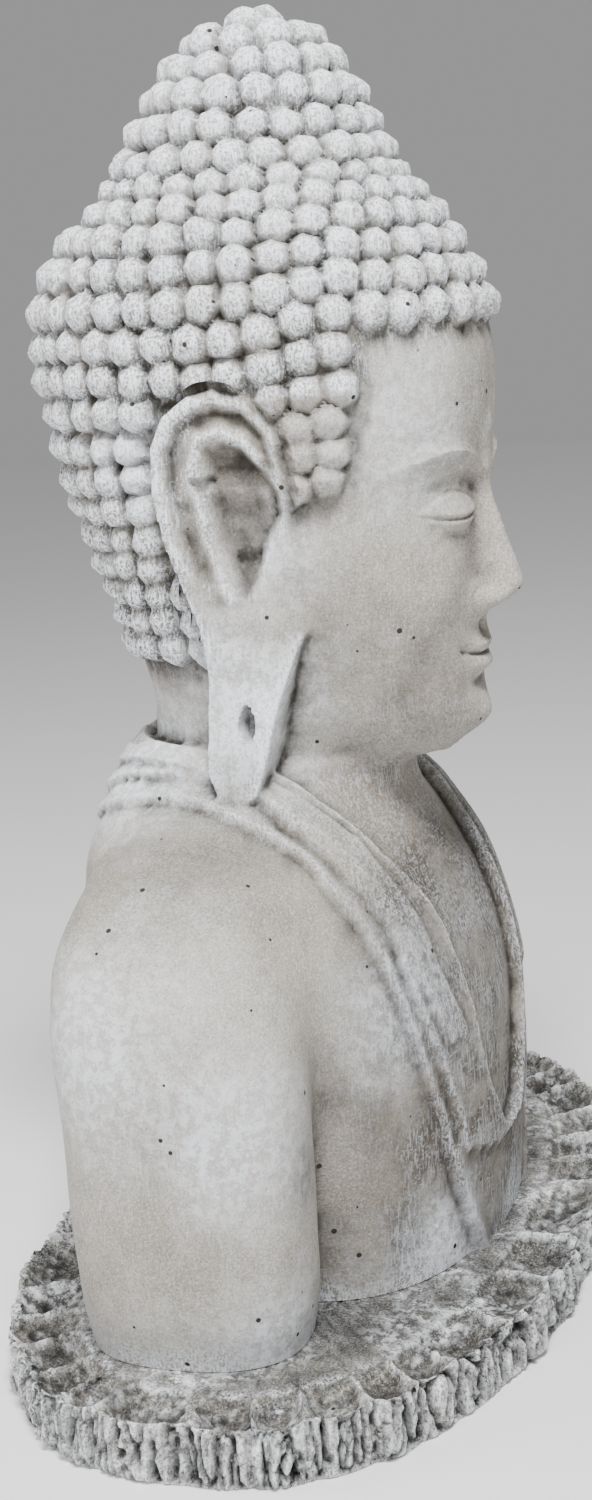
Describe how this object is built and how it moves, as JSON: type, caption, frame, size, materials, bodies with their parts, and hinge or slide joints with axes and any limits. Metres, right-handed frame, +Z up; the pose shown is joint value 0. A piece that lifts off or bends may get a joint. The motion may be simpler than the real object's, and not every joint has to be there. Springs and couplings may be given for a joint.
{
  "type": "buddha bust",
  "caption": "Cast stone bust of a calm buddha with rows of snail-shell curls, long pierced ear lobes and a folded robe, resting on an oval base with a scalloped petal rim.",
  "frame": {"origin": "centre of the base's underside", "axes": "+Z up, the figure faces -Y, its left hand side is +X"},
  "size_m": [0.6264, 0.3556, 0.7969],
  "materials": {
    "bust_stone": "weathered light warm-grey cast stone, brushed, with small casting pores",
    "base_stone": "rough darker grey cast stone with chalky white bloom"
  },
  "bodies": {
    "root": {"bust": "bust_stone", "base": "base_stone"}
  },
  "joints": []
}
